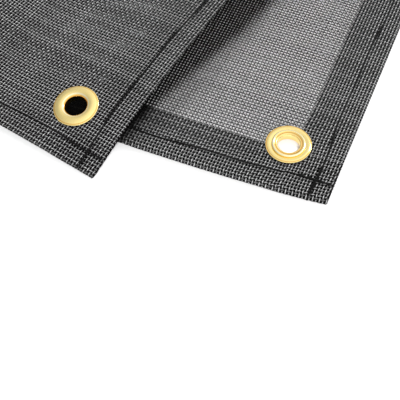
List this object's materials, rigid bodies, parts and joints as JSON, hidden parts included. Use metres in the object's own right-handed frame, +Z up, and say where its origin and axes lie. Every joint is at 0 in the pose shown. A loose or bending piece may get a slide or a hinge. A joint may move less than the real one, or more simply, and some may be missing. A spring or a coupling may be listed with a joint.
{
  "type": "awning shade screen",
  "caption": "Hemmed open-mesh shade panel with a brass eyelet in each corner, folded once so that one layer shows its front and the other its back, lying flat.",
  "frame": {"origin": "middle of the footprint of the folded screen, on the surface that it lies on", "axes": "+X along the lower layer's bottom edge, away from the fold; +Y along its right edge, from the bottom hem to the top hem; +Z up"},
  "size_m": [0.2896, 0.4326, 0.025],
  "materials": {
    "coated_mesh": "satin vinyl coating over woven polyester yarn",
    "brass": "polished, pale yellow"
  },
  "bodies": {
    "root": {"screen_cloth": "coated_mesh", "eyelet_strip_lower": "coated_mesh", "eyelet_strip_upper": "coated_mesh", "grommet_lower_front": "brass", "grommet_lower_back": "brass", "grommet_upper_front": "brass", "grommet_upper_back": "brass", "washer_lower_front": "brass", "washer_lower_back": "brass", "washer_upper_front": "brass", "washer_upper_back": "brass"}
  },
  "joints": []
}
